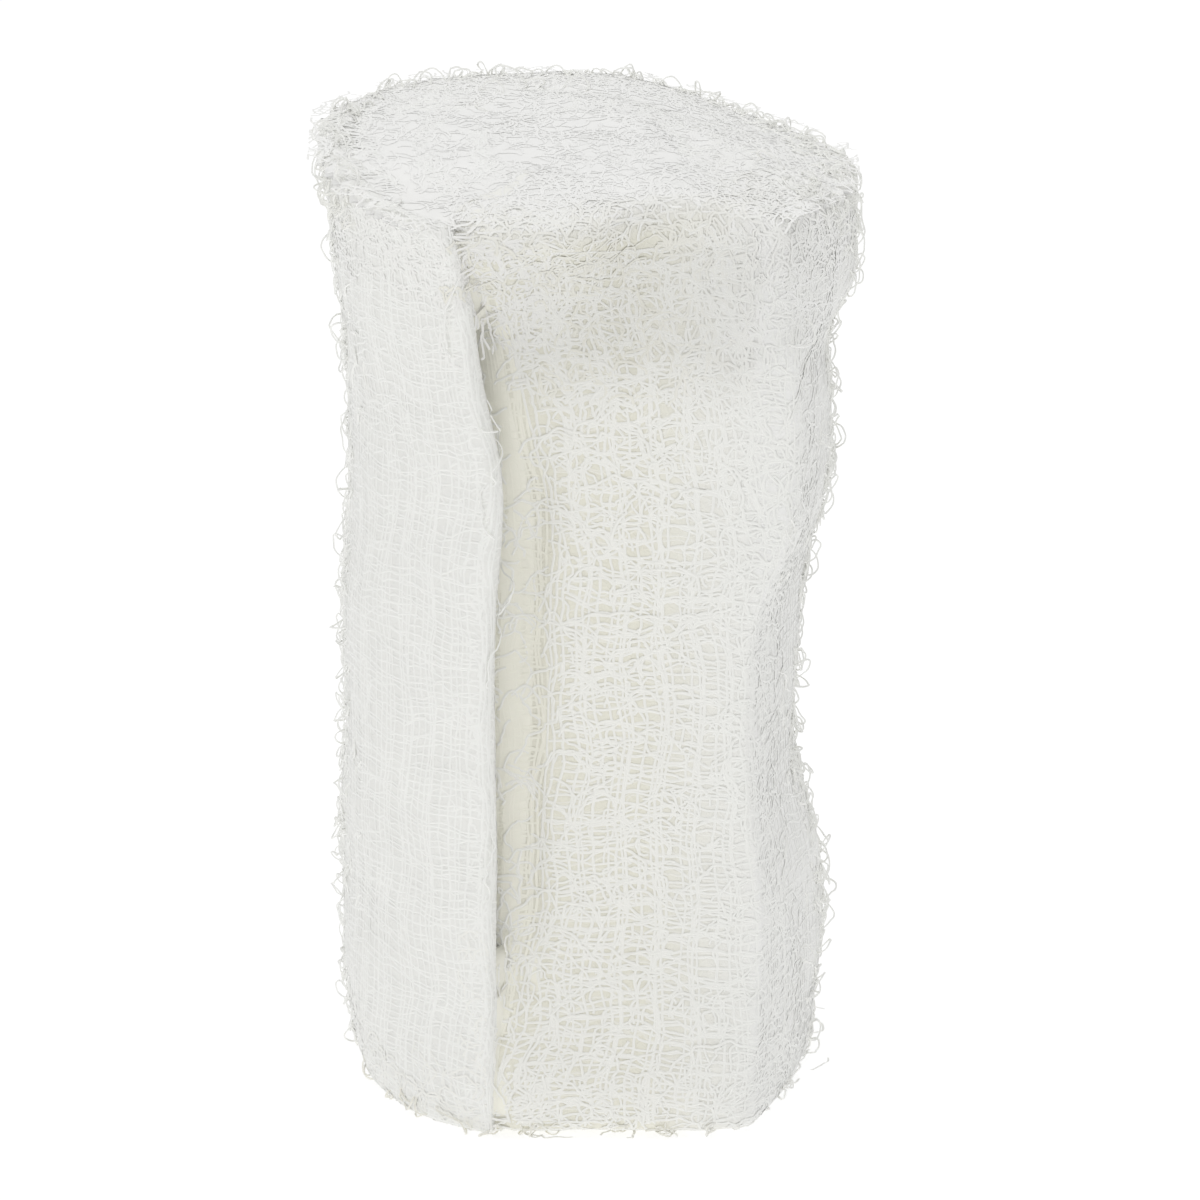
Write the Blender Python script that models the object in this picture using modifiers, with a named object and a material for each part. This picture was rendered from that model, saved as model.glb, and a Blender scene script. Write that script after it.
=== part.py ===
import math
from collections import namedtuple

import bmesh
import bpy
from mathutils import Vector, noise

# A crinkle-weave gauze bandage, wound up and stood on one edge. X is right, Y is back, Z is up.
# The origin is at the middle of the foot. Angles run from the front (-Y) towards +X, in degrees.
MM = 0.001

# The middle of the winding, which lies a little off the middle of the whole outline.
WINDING_X, WINDING_Y = -0.7 * MM, -0.6 * MM

MEAN_RADIUS = 29.0 * MM

LOOSE_THICKNESS = 3.2 * MM
LOOSE_FOOT = 0.1 * MM
ROOT_CLEARANCE = 0.8 * MM
EDGE_LIFT = 1.2 * MM
EDGE_LIFT_FROM = 0.5
HEAD_LIFT = 1.4 * MM
HEAD_LIFT_FROM = 0.8
HEAD_LIFT_BOTTOM, HEAD_LIFT_TOP = 92.0 * MM, 108.0 * MM
ROOT_ANGLE = -118.0
ROOT_WALL = 0.4 * MM
ROOT_GAP = 1.2 * MM
POCKET_PAST_EDGE = 0.9 * MM
POCKET_FLAT_FROM = -50.0
FREE_EDGE_ROUNDING = 1.0 * MM

FOOT_ROUNDING = 1.6 * MM
FOOT_RING_INSET, FOOT_RING_RISE = 0.3, 0.4
RIM_ROUNDING = 2.4 * MM
POCKET_RIM_SHARE = 0.35
RIM_FOLLOWS_FROM = 0.55
CREASE_SOFTNESS = 2.0 * MM
CENTRE_HEIGHT = 114.8 * MM
TURN_PITCH = 7.0 * MM
TURN_RELIEF = 0.3 * MM
LUMP_SIZE = 9.0 * MM
LUMP_HEIGHT = 0.45 * MM
HEAD_LUMP_HEIGHT = 0.9 * MM
PANEL_LUMP_SHARE = 0.6
HEAD_ROUNDNESS = 0.6

# Shares of the way out from the middle of the head.
RIM_OUTLINE_SHARES = (0.8, 1.0)
RELIEF_GROWS_SHARES = (0.0, 0.3)
RELIEF_FADES_SHARES = (0.85, 1.0)

# The shoulder stands out beside the sunken head of the panel, and the collar hangs over it.
SHOULDER_AT = 19.2 * MM
SHOULDER_WALL = 1.4 * MM
SHOULDER_RISE = 5.2 * MM
SHOULDER_BOTTOM, SHOULDER_TOP = 89.0 * MM, 103.0 * MM
COLLAR_TO = 5.0 * MM
COLLAR_FADE = 6.0 * MM
COLLAR_RISE = 8.4 * MM
COLLAR_REST = 0.22
COLLAR_BOTTOM, COLLAR_TOP = 102.8 * MM, 107.2 * MM
COLLAR_WAVE = 0.9 * MM
COLLAR_WAVE_LENGTH = 11.0 * MM
HOLLOW_AT, HOLLOW_HEIGHT = 8.0 * MM, 104.5 * MM
HOLLOW_SPREAD = 6.5 * MM
HOLLOW_DEPTH = 2.6 * MM
GROOVE_OFFSET = 3.4 * MM
GROOVE_WIDTH = 3.4 * MM
GROOVE_DEPTH = 1.5 * MM
GROOVE_FOOT = (8.0 * MM, 24.0 * MM)
GROOVE_HEAD = (74.0 * MM, 90.0 * MM)
FOLD_BOTTOM, FOLD_TOP = 100.5 * MM, 105.0 * MM
FOLD_UNDER = 0.5 * MM

SIDE_ROWS = 33
RIM_STEPS = 3
HEAD_RINGS = 12
POCKET_COLUMNS = 22
PANEL_COLUMNS = 18
PANEL_START_ANGLE = 7.6
SHOULDER_COLUMNS = 4
CORNER_WIDTH = 4.5 * MM
SIDE_START_ANGLE = 58.0
SIDE_FACE_ANGLES = (15.0, 110.0)
SIDE_FACE_END_Y = -2.0 * MM
PANEL_REACHES_ANGLE = 80.0
SIDE_SPREAD = 1.2
BACK_COLUMNS = 33
LOOSE_COLUMNS = 18
LOOSE_ROWS = 26

# One row for each height, all in millimetres: how far the outer turn reaches to the left, the
# front left, the back and the right, where the panel's right edge is, and how far forward it lies.
Section = namedtuple("Section", "height left front_left back right ridge panel")
SECTIONS = (
    Section(0.0, 27.3, 31.0, 28.5, 28.2, 22.5, 29.4),
    Section(3.0, 28.6, 31.2, 29.4, 28.2, 22.5, 30.0),
    Section(8.0, 29.3, 31.0, 30.0, 28.8, 21.8, 29.0),
    Section(15.0, 29.8, 30.6, 30.0, 29.3, 21.5, 26.8),
    Section(25.0, 29.2, 30.2, 30.0, 28.8, 21.8, 24.8),
    Section(33.0, 29.8, 30.0, 29.6, 27.0, 21.0, 23.8),
    Section(40.0, 29.0, 30.0, 29.2, 25.3, 20.5, 23.4),
    Section(50.0, 29.2, 29.8, 29.0, 26.2, 20.0, 23.0),
    Section(58.0, 29.2, 29.8, 29.2, 26.6, 20.2, 22.8),
    Section(64.0, 28.8, 29.6, 29.4, 27.3, 21.0, 22.7),
    Section(72.0, 28.2, 29.4, 29.4, 29.5, 24.5, 22.5),
    Section(84.0, 28.2, 29.2, 29.2, 29.9, 26.0, 22.3),
    Section(91.0, 28.8, 29.3, 29.4, 29.3, 25.5, 21.8),
    Section(97.0, 29.8, 29.8, 29.8, 32.6, 25.5, 20.8),
    Section(105.0, 30.6, 30.4, 31.0, 32.5, 25.5, 19.2),
    Section(110.0, 31.2, 30.8, 31.2, 31.8, 25.5, 19.2),
)
LEFT_ANGLE, FRONT_LEFT_ANGLE, RIGHT_ANGLE, BACK_ANGLE = -90.0, -42.0, 90.0, 180.0
FRONT_RIGHT_ANGLE = 45.0
FRONT_RIGHT_REACH = 34.0 * MM

# Where the loose end's free edge is at each height, left of the middle, in millimetres.
EdgePlace = namedtuple("EdgePlace", "height left_of_middle")
FREE_EDGE = (
    EdgePlace(0.0, 10.8),
    EdgePlace(60.0, 11.0),
    EdgePlace(80.0, 9.8),
    EdgePlace(93.0, 12.6),
    EdgePlace(105.0, 14.6),
    EdgePlace(114.0, 18.2),
)

# Across the edge of an inner turn that shows beside the loose end, near the head: how many degrees
# past the pocket each column is, and how much of the fold's rise it has.
FoldStep = namedtuple("FoldStep", "past_pocket share")
FOLD_STEPS = (
    FoldStep(1.3, 0.9),
    FoldStep(2.5, 1.0),
    FoldStep(3.7, 0.85),
    FoldStep(4.8, 0.0),
    FoldStep(6.4, 0.0),
)

# How high the rim of the head is at each angle, in millimetres.
RimPlace = namedtuple("RimPlace", "angle height")
RIM = (
    RimPlace(-180.0, 114.3),
    RimPlace(-120.0, 115.8),
    RimPlace(-90.0, 115.6),
    RimPlace(-35.0, 112.4),
    RimPlace(0.0, 112.8),
    RimPlace(42.0, 113.0),
    RimPlace(90.0, 111.8),
    RimPlace(130.0, 110.8),
    RimPlace(180.0, 114.3),
)


def smooth_step(low, high, value):
    t = min(max((value - low) / (high - low), 0.0), 1.0)
    return t * t * (3.0 - 2.0 * t)


def smooth_min(a, b, softness):
    overlap = max(softness - abs(a - b), 0.0) / softness
    return min(a, b) - overlap * overlap * softness / 4.0


def interpolate(places, values, at):
    """A curve through the values that never swings past its neighbours."""
    if at <= places[0]:
        return values[0]
    if at >= places[-1]:
        return values[-1]
    k = max(i for i in range(len(places) - 1) if places[i] <= at)
    span = places[k + 1] - places[k]
    slopes = []
    for i in (k, k + 1):
        before = (values[i] - values[i - 1]) / (places[i] - places[i - 1]) if i > 0 else 0.0
        after = 0.0
        if i < len(places) - 1:
            after = (values[i + 1] - values[i]) / (places[i + 1] - places[i])
        slopes.append(2.0 * before * after / (before + after) if before * after > 0.0 else 0.0)
    t = (at - places[k]) / span
    start = (1.0 + 2.0 * t) * (1.0 - t) ** 2
    end = t * t * (3.0 - 2.0 * t)
    bend = t * (1.0 - t) ** 2 * slopes[0] + t * t * (t - 1.0) * slopes[1]
    return start * values[k] + end * values[k + 1] + span * bend


def section_at(height):
    heights = [row.height * MM for row in SECTIONS]
    columns = zip(*[row[1:] for row in SECTIONS])
    reaches = [interpolate(heights, [value * MM for value in column], height) for column in columns]
    return Section(height, *reaches)


def rim_height(angle):
    wrapped = (angle + 180.0) % 360.0 - 180.0
    return interpolate([place.angle for place in RIM], [place.height * MM for place in RIM], wrapped)


def point_at(angle, radius, height):
    turn = math.radians(angle)
    return Vector((WINDING_X + radius * math.sin(turn), WINDING_Y - radius * math.cos(turn), height))


def lump(angle, height):
    place = point_at(angle, MEAN_RADIUS, height) / LUMP_SIZE
    return LUMP_HEIGHT * noise.noise(place)


def outer_turn(angle, section):
    """The outermost turn of the roll, as if it went all the way round."""
    wrapped = (angle + 270.0) % 360.0 - 270.0
    angles = (-270.0, BACK_ANGLE - 360.0, LEFT_ANGLE, FRONT_LEFT_ANGLE, FRONT_RIGHT_ANGLE, RIGHT_ANGLE)
    reaches = (
        section.right,
        section.back,
        section.left,
        section.front_left,
        FRONT_RIGHT_REACH,
        section.right,
    )
    return interpolate(angles, reaches, wrapped) + lump(angle, section.height)


def edge_across(height):
    """How far right of the middle the free edge is, which is a negative distance."""
    lefts = [-place.left_of_middle * MM for place in FREE_EDGE]
    return interpolate([place.height * MM for place in FREE_EDGE], lefts, height)


def edge_angle(height):
    return math.degrees(math.asin(edge_across(height) / section_at(height).front_left))


def degrees_along(distance):
    return math.degrees(distance / MEAN_RADIUS)


def pocket_end(height):
    return edge_angle(height) + degrees_along(POCKET_PAST_EDGE)


def panel_depth(across, section, collar_share=1.0):
    """How far forward the sunken front panel lies, with the collar and shoulder of its head."""
    height = section.height
    shoulder = SHOULDER_RISE * smooth_step(SHOULDER_BOTTOM, SHOULDER_TOP, height)
    shoulder *= smooth_step(SHOULDER_AT, SHOULDER_AT + SHOULDER_WALL, across)
    sag = COLLAR_WAVE * math.cos(2.0 * math.pi * across / COLLAR_WAVE_LENGTH)
    collar = COLLAR_RISE * collar_share * smooth_step(COLLAR_BOTTOM, COLLAR_TOP, height + sag)
    past_collar = smooth_step(COLLAR_TO - COLLAR_FADE, COLLAR_TO + COLLAR_FADE, across)
    collar *= 1.0 - (1.0 - COLLAR_REST) * past_collar
    away = math.hypot(across - HOLLOW_AT, height - HOLLOW_HEIGHT) / HOLLOW_SPREAD
    hollow = HOLLOW_DEPTH * math.exp(-away * away)
    beside_edge = (across - edge_across(height) - GROOVE_OFFSET) / GROOVE_WIDTH
    groove = GROOVE_DEPTH * math.exp(-beside_edge * beside_edge)
    groove *= smooth_step(*GROOVE_FOOT, height) * (1.0 - smooth_step(*GROOVE_HEAD, height))
    return section.panel + max(shoulder, collar) - hollow - groove


def side_face(angle, section):
    """The flat run from the panel's right edge to the right of the roll."""
    front = panel_depth(section.ridge, section)
    ridge = Vector((section.ridge, -front))
    along = Vector((section.right, SIDE_FACE_END_Y)) - ridge
    out = Vector((-along.y, along.x)).normalized()
    if out.x < 0.0:
        out = -out
    turn = math.radians(angle)
    facing = Vector((math.sin(turn), -math.cos(turn))).dot(out)
    return ridge.dot(out) / max(facing, 0.2)


def pocket_depth(angle, height):
    """How far the roll lies under the outer turn where the loose end covers it."""
    along = (angle - ROOT_ANGLE) / (edge_angle(height) - ROOT_ANGLE)
    lift = EDGE_LIFT * smooth_step(EDGE_LIFT_FROM, 1.0, along)
    near_head = smooth_step(HEAD_LIFT_BOTTOM, HEAD_LIFT_TOP, height)
    lift += HEAD_LIFT * near_head * smooth_step(HEAD_LIFT_FROM, 1.0, along)
    return LOOSE_THICKNESS + ROOT_CLEARANCE + lift


def outer_limit(angle, section):
    """The outer turn, flattened where the roll's right side is."""
    radius = outer_turn(angle, section)
    if SIDE_FACE_ANGLES[0] < angle < SIDE_FACE_ANGLES[1]:
        side = side_face(angle, section) + lump(angle, section.height)
        radius = smooth_min(radius, side, CREASE_SOFTNESS)
    return radius


def pocket_places(section):
    """Points of one ring under the loose end, from its root to just past its free edge."""
    height = section.height
    start = ROOT_ANGLE + degrees_along(ROOT_WALL)
    end = pocket_end(height)
    places = []
    for k in range(POCKET_COLUMNS + 1):
        angle = start + (end - start) * k / POCKET_COLUMNS
        radius = outer_turn(angle, section) - pocket_depth(angle, height)
        if angle > POCKET_FLAT_FROM:
            turn = math.radians(angle)
            panel = panel_depth(section.panel * math.tan(turn), section, 0.0) / math.cos(turn)
            radius = smooth_min(radius, panel, CREASE_SOFTNESS)
        places.append((angle, radius))
    return places


def fold_places(section):
    """Points of one ring over the edge of the inner turn, which sinks into the panel lower down."""
    rise = smooth_step(FOLD_BOTTOM, FOLD_TOP, section.height)
    places = []
    for step in FOLD_STEPS:
        angle = pocket_end(section.height) + step.past_pocket
        turn = math.radians(angle)
        radius = panel_depth(section.panel * math.tan(turn), section, 0.0) / math.cos(turn)
        tip = outer_turn(angle, section) - FOLD_UNDER
        places.append((angle, radius + step.share * rise * (tip - radius)))
    return places


def panel_places(section):
    """Points of one ring across the sunken panel, listed by how far right they are."""
    height = section.height
    start_slope = math.tan(math.radians(pocket_end(height) + PANEL_START_ANGLE))
    first = section.panel * start_slope
    for _ in range(4):
        first = panel_depth(first, section) * start_slope
    wall = min(SHOULDER_AT, section.ridge - CORNER_WIDTH)
    acrosses = [first + (wall - first) * k / PANEL_COLUMNS for k in range(PANEL_COLUMNS + 1)]
    past_wall = wall + SHOULDER_WALL
    for k in range(SHOULDER_COLUMNS):
        acrosses.append(past_wall + (section.ridge - past_wall) * k / (SHOULDER_COLUMNS - 1))
    places = []
    for across in acrosses:
        depth = panel_depth(across, section)
        angle = math.degrees(math.atan2(across, depth))
        radius = math.hypot(across, depth) + PANEL_LUMP_SHARE * lump(angle, height)
        places.append((angle, smooth_min(radius, outer_limit(angle, section), CREASE_SOFTNESS)))
    return places


def back_places(section):
    """Points of one ring round the right side and the back, as far as the loose end's root."""
    last = ROOT_ANGLE + 360.0
    places = []
    for k in range(BACK_COLUMNS + 1):
        angle = SIDE_START_ANGLE + (last - SIDE_START_ANGLE) * k / BACK_COLUMNS
        radius = outer_limit(angle, section)
        if angle < PANEL_REACHES_ANGLE:
            front = panel_depth(section.ridge, section) / math.cos(math.radians(angle))
            radius = smooth_min(front, radius, CREASE_SOFTNESS)
        places.append((angle, radius))
    return places


def ring_places(height):
    section = section_at(height)
    return pocket_places(section) + fold_places(section) + panel_places(section) + back_places(section)


def side_top():
    """Where the side ends and the rim's rounding starts, before it follows the uneven rim."""
    return min(place.height for place in RIM) * MM - RIM_ROUNDING


def stretched(height, angle, top):
    """The upper part of the roll follows its uneven rim."""
    share = smooth_step(RIM_FOLLOWS_FROM * top, top, height)
    return height + share * (rim_height(angle) - RIM_ROUNDING - top)


def foot_ring(inset, height):
    return [point_at(angle, radius - inset, height) for angle, radius in ring_places(0.0)]


def side_ring(height, top):
    return [point_at(angle, radius, stretched(height, angle, top)) for angle, radius in ring_places(height)]


def rim_inset(column):
    """How far the rim's rounding reaches in, less where the loose end lies against it."""
    return RIM_ROUNDING * (POCKET_RIM_SHARE if column <= POCKET_COLUMNS else 1.0)


def rim_ring(step, top):
    """One ring of the rounded rim, the last of them on the head."""
    turn = 0.5 * math.pi * step / RIM_STEPS
    drop = RIM_ROUNDING * (1.0 - math.sin(turn))
    ring = []
    for k, (angle, radius) in enumerate(ring_places(top)):
        inset = rim_inset(k) * (1.0 - math.cos(turn))
        ring.append(point_at(angle, radius - inset, rim_height(angle) - drop))
    return ring


def evened_angle(column, places):
    """The column's angle, spread evenly where the panel's wall turns back on itself."""
    first = POCKET_COLUMNS + 1 + len(FOLD_STEPS)
    last = first + PANEL_COLUMNS + SHOULDER_COLUMNS
    if not first < column < last:
        return places[column][0]
    start, end = places[first][0], places[last][0]
    return start + (end - start) * (column - first) / (last - first)


def head_ring(share, top):
    """A ring of the gently domed head. Its outline evens out away from the rim."""
    near_rim = smooth_step(*RIM_OUTLINE_SHARES, share)
    fade = smooth_step(*RELIEF_GROWS_SHARES, share) * (1.0 - smooth_step(*RELIEF_FADES_SHARES, share))
    section = section_at(top)
    places = ring_places(top)
    ring = []
    for k, (rim_angle, radius) in enumerate(places):
        even_angle = evened_angle(k, places)
        angle = even_angle + (rim_angle - even_angle) * near_rim
        even = section.panel + (outer_turn(angle, section) - section.panel) * HEAD_ROUNDNESS
        place = share * (even + (radius - rim_inset(k) - even) * near_rim)
        height = CENTRE_HEIGHT + (rim_height(angle) - CENTRE_HEIGHT) * share**3
        turns = math.cos(2.0 * math.pi * place / TURN_PITCH - math.radians(angle))
        lumps = noise.noise(point_at(angle, place, 0.0) / LUMP_SIZE)
        relief = TURN_RELIEF * turns + HEAD_LUMP_HEIGHT * lumps
        ring.append(point_at(angle, place, height + fade * relief))
    return ring


def loft(mesh, rings, closed):
    """Faces between rings of equal length, listed from the bottom up."""
    rows = [[mesh.verts.new(point) for point in ring] for ring in rings]
    for low, high in zip(rows, rows[1:]):
        count = len(low)
        for k in range(count if closed else count - 1):
            n = (k + 1) % count
            mesh.faces.new((low[k], low[n], high[n], high[k]))
    return rows


def object_from(mesh, name, collection, material):
    data = bpy.data.meshes.new(name)
    mesh.to_mesh(data)
    mesh.free()
    data.materials.append(material)
    data.shade_smooth()
    data.set_sharp_from_angle(angle=math.radians(50.0))
    made = bpy.data.objects.new(name, data)
    collection.objects.link(made)
    return made


def cotton(name, colour, roughness):
    material = bpy.data.materials.new(name)
    material.use_nodes = True
    shader = material.node_tree.nodes["Principled BSDF"]
    shader.inputs["Base Color"].default_value = (*colour, 1.0)
    shader.inputs["Roughness"].default_value = roughness
    shader.inputs["Metallic"].default_value = 0.0
    return material


def make_wound_roll(collection):
    top = side_top()
    rings = [foot_ring(FOOT_ROUNDING, 0.0)]
    rings.append(foot_ring(FOOT_RING_INSET * FOOT_ROUNDING, FOOT_RING_RISE * FOOT_ROUNDING))
    for k in range(SIDE_ROWS):
        share = k / (SIDE_ROWS - 1)
        closing_up = SIDE_SPREAD * share - (SIDE_SPREAD - 1.0) * share**4
        rings.append(side_ring(FOOT_ROUNDING + (top - FOOT_ROUNDING) * closing_up, top))
    rings += [rim_ring(step, top) for step in range(1, RIM_STEPS + 1)]
    rings += [head_ring(1.0 - k / HEAD_RINGS, top) for k in range(1, HEAD_RINGS)]
    mesh = bmesh.new()
    rows = loft(mesh, rings, closed=True)
    mesh.faces.new(reversed(rows[0]))
    centre = mesh.verts.new(point_at(0.0, 0.0, CENTRE_HEIGHT))
    for k, vert in enumerate(rows[-1]):
        mesh.faces.new((vert, rows[-1][(k + 1) % len(rows[-1])], centre))
    return object_from(mesh, "wound_roll", collection, cotton("roll_cotton", (0.80, 0.80, 0.76), 0.9))


def make_loose_end(collection):
    top = side_top()
    rings = []
    for row in range(LOOSE_ROWS + 1):
        height = LOOSE_FOOT + (top - LOOSE_FOOT) * row / LOOSE_ROWS
        section = section_at(height)
        start = ROOT_ANGLE + degrees_along(ROOT_WALL + ROOT_GAP)
        end = edge_angle(height)
        ring = []
        for k in range(LOOSE_COLUMNS + 1):
            angle = start + (end - start) * k / LOOSE_COLUMNS
            rise = RIM_ROUNDING * smooth_step(HEAD_LIFT_BOTTOM, top, height)
            place = stretched(height, angle, top) + rise
            ring.append(point_at(angle, outer_turn(angle, section), place))
        rings.append(ring)
    mesh = bmesh.new()
    loft(mesh, rings, closed=False)
    made = object_from(mesh, "loose_end", collection, cotton("loose_cotton", (0.84, 0.84, 0.81), 0.9))
    shell = made.modifiers.new("thickness", "SOLIDIFY")
    shell.thickness = LOOSE_THICKNESS
    shell.offset = -1.0
    rounding = made.modifiers.new("soft_edges", "BEVEL")
    rounding.width = FREE_EDGE_ROUNDING
    rounding.segments = 2
    rounding.limit_method = "ANGLE"
    rounding.angle_limit = math.radians(50.0)
    return made


def clear_scene():
    for item in list(bpy.data.objects):
        bpy.data.objects.remove(item, do_unlink=True)


def main():
    clear_scene()
    collection = bpy.data.collections.new("gauze_bandage_roll")
    bpy.context.scene.collection.children.link(collection)
    make_wound_roll(collection)
    make_loose_end(collection)


main()
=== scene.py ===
import math

import bmesh
import bpy
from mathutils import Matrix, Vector
from mathutils.bvhtree import BVHTree


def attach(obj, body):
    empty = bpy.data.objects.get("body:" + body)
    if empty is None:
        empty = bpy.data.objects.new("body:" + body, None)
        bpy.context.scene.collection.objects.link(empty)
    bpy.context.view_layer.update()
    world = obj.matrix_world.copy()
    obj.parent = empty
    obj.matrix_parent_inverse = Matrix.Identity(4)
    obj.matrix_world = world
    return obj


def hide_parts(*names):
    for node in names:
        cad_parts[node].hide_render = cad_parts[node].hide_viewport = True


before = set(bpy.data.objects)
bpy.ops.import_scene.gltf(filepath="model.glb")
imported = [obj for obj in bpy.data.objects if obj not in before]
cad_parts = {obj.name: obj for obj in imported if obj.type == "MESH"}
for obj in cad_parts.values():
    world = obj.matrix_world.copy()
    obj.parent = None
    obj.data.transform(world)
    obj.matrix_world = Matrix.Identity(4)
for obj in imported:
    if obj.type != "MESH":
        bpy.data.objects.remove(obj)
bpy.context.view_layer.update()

# A fluffed crinkle gauze bandage, wound up and stood on one edge, its free end open down the front.
# Metres, X right, Y back, Z up. Angles are in degrees from the front (-Y) towards +X.
mm = 0.001
windingX, windingY = -0.7 * mm, -0.6 * mm  # the middle of the winding, as in the CAD source
meanRadius = 29.5 * mm
farOut = 80  # rays towards the cloths start this many millimetres away
scene = bpy.context.scene


def linked(name, data):
    made = bpy.data.objects.new(name, data)
    scene.collection.objects.link(made)
    return made


def objectFrom(name, mesh):
    data = bpy.data.meshes.new(name)
    mesh.to_mesh(data)
    mesh.free()
    return linked(name, data)


# Camera, floor and light.

cameraSet = dict(
    distance=0.94, elevation=21.0, azimuth=0.0, lens=236.6, sensor=36.0,
    target=(1.1 * mm, -0.6 * mm, 57.1 * mm),
)


def placeCamera(settings):
    data = bpy.data.cameras.new("camera")
    data.lens = settings["lens"]
    data.sensor_width = settings["sensor"]
    data.dof.use_dof = False
    camera = linked("camera", data)
    up = math.radians(settings["elevation"])
    turn = math.radians(settings["azimuth"])
    target = Vector(settings["target"])
    back = Vector((math.sin(turn) * math.cos(up), -math.cos(turn) * math.cos(up), math.sin(up)))
    camera.location = target + back * settings["distance"]
    camera.rotation_euler = (target - camera.location).to_track_quat("-Z", "Y").to_euler()
    scene.camera = camera


studioSet = dict(
    surround=(1.0, 1.0, 1.0), surroundStrength=0.53,
    floorColour=(0.5, 0.5, 0.5), floorRoughness=0.9, floorGlow=0.64, floorHalf=3.0,
    lampAim=(0.0, 0.0, 0.06),
    key=dict(place=(-0.45, -0.93, 0.7), size=1.2, power=2.2),
    top=dict(place=(0.05, 0.15, 1.1), size=0.9, power=3.9),
)


def addArea(name, settings, aim):
    data = bpy.data.lights.new(name, "AREA")
    data.shape = "DISK"
    data.size = settings["size"]
    data.energy = settings["power"]
    lamp = linked(name, data)
    lamp.location = settings["place"]
    away = Vector(settings["place"]) - Vector(aim)
    lamp.rotation_euler = away.to_track_quat("Z", "Y").to_euler()


def addStudio(settings):
    world = bpy.data.worlds.new("studio")
    world.use_nodes = True
    ground = world.node_tree.nodes["Background"]
    ground.inputs["Color"].default_value = (*settings["surround"], 1.0)
    ground.inputs["Strength"].default_value = settings["surroundStrength"]
    scene.world = world
    half = settings["floorHalf"]
    corners = [(-half, -half, 0), (half, -half, 0), (half, half, 0), (-half, half, 0)]
    data = bpy.data.meshes.new("studioFloor")
    data.from_pydata(corners, [], [(0, 1, 2, 3)])
    material = bpy.data.materials.new("paleFloor")
    material.use_nodes = True
    shader = material.node_tree.nodes["Principled BSDF"]
    shader.inputs["Base Color"].default_value = (*settings["floorColour"], 1.0)
    shader.inputs["Roughness"].default_value = settings["floorRoughness"]
    shader.inputs["Specular IOR Level"].default_value = 0.0
    shader.inputs["Emission Color"].default_value = (1.0, 1.0, 1.0, 1.0)
    shader.inputs["Emission Strength"].default_value = settings["floorGlow"]
    data.materials.append(material)
    floor = linked("studioFloor", data)
    addArea("keyLight", settings["key"], settings["lampAim"])
    addArea("topLight", settings["top"], settings["lampAim"])
    scene.view_settings.view_transform = "Standard"
    scene.view_settings.look = "None"


placeCamera(cameraSet)
addStudio(studioSet)
print("studio ready")


# Each cotton is warmer low down on the front, and its hollow under the head is darker: painted shade of
# the recess under the head. A pair of places gives where such a change starts and where it is complete.
cottonSet = dict(
    roughness=0.92, specular=0.2, sheen=0.6, sheenRoughness=0.6,
    paleSide=(6 * mm, 20 * mm), paleHead=(109 * mm, 114 * mm), paleBack=(-14 * mm, -2 * mm),
    patch=3 * mm, patchDetail=3.0, patchRange=(0.3, 0.65),
    # Painted shade: the tone that the hollow under the head is darkened to, and where that shade starts and
    # is full.
    hollowShadeTone=0.905, hollowShadeTop=(112.5 * mm, 107 * mm), hollowShadeBottom=(88 * mm, 96 * mm),
    hollowShadeLeft=(-16 * mm, -13 * mm), hollowShadeRight=(28 * mm, 17 * mm), hollowShadeDeep=(-8 * mm, -14 * mm),
    bumpDepth=0.02 * mm, bumpSize=0.25 * mm, bumpDetail=4.0, bumpRoughness=0.65, bumpStrength=0.8,
    netSize=0.0, netBend=0.45 * mm, netBendSize=1.3 * mm, netWidth=0.2, netDepth=0.05 * mm, netTone=0.985,
)


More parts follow.
